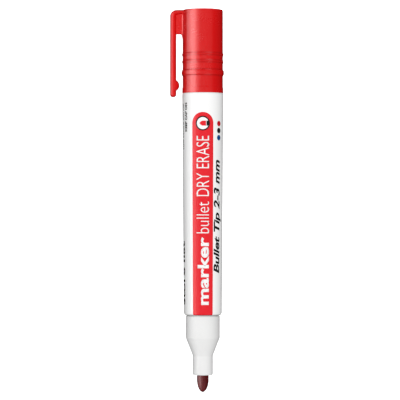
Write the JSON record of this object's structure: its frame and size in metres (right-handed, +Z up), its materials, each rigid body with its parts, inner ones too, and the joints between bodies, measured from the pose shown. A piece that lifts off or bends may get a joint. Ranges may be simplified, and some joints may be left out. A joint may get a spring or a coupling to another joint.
{
  "type": "whiteboard marker",
  "caption": "Bullet-tip whiteboard marker with a white sleeved barrel, a printed red band and a red clip cap posted on its tail.",
  "frame": {"origin": "on the surface that the marker lies on, under the middle of its box at rest, with the cap posted on the tail", "axes": "+X runs along the marker from the nib to the cap's closed end, the clip points to +Y, +Z up"},
  "size_m": [0.153, 0.0216, 0.017],
  "materials": {
    "white_plastic": "satin moulded white plastic",
    "printed_film": "white shrink film, printed, glossy",
    "red_plastic": "glossy moulded red plastic",
    "nib_felt": "pressed felt soaked in dark red ink",
    "inked_fibre": "bundled polyester fibre soaked in red ink",
    "wrap_film": "thin rolled plastic film",
    "soft_plastic": "soft natural plastic"
  },
  "bodies": {
    "barrel": {"barrel": "white_plastic", "print_sleeve": "printed_film", "nose": "white_plastic", "reservoir_core": "inked_fibre", "reservoir_wrap": "wrap_film", "breather_tube": "soft_plastic", "tail_plug": "white_plastic"},
    "nib": {"nib": "nib_felt"},
    "cap_liner": {"inner_cap": "soft_plastic"},
    "cap": {"cap_shell": "red_plastic"},
    "clip": {"clip_arm": "red_plastic"}
  },
  "joints": [
    {"name": "cap_pull", "type": "slide", "parent": "barrel", "child": "cap_liner", "axis": [1, 0, 0], "range_m": [0, 0.03]},
    {"name": "cap_turn", "type": "hinge", "parent": "cap_liner", "child": "cap", "pos_m": [0.05952, -0.00232, 0.00848], "axis": [1, 0, 0], "continuous": true},
    {"name": "clip_flex", "type": "hinge", "parent": "cap", "child": "clip", "pos_m": [0.06572, 0.00963, 0.00848], "axis": [0, 0, -1], "range_deg": [-3, 5], "stiffness_Nm_per_rad": 0.25},
    {"name": "nib_pull", "type": "slide", "parent": "barrel", "child": "nib", "axis": [-1, 0, 0], "range_m": [0, 0.042]}
  ]
}
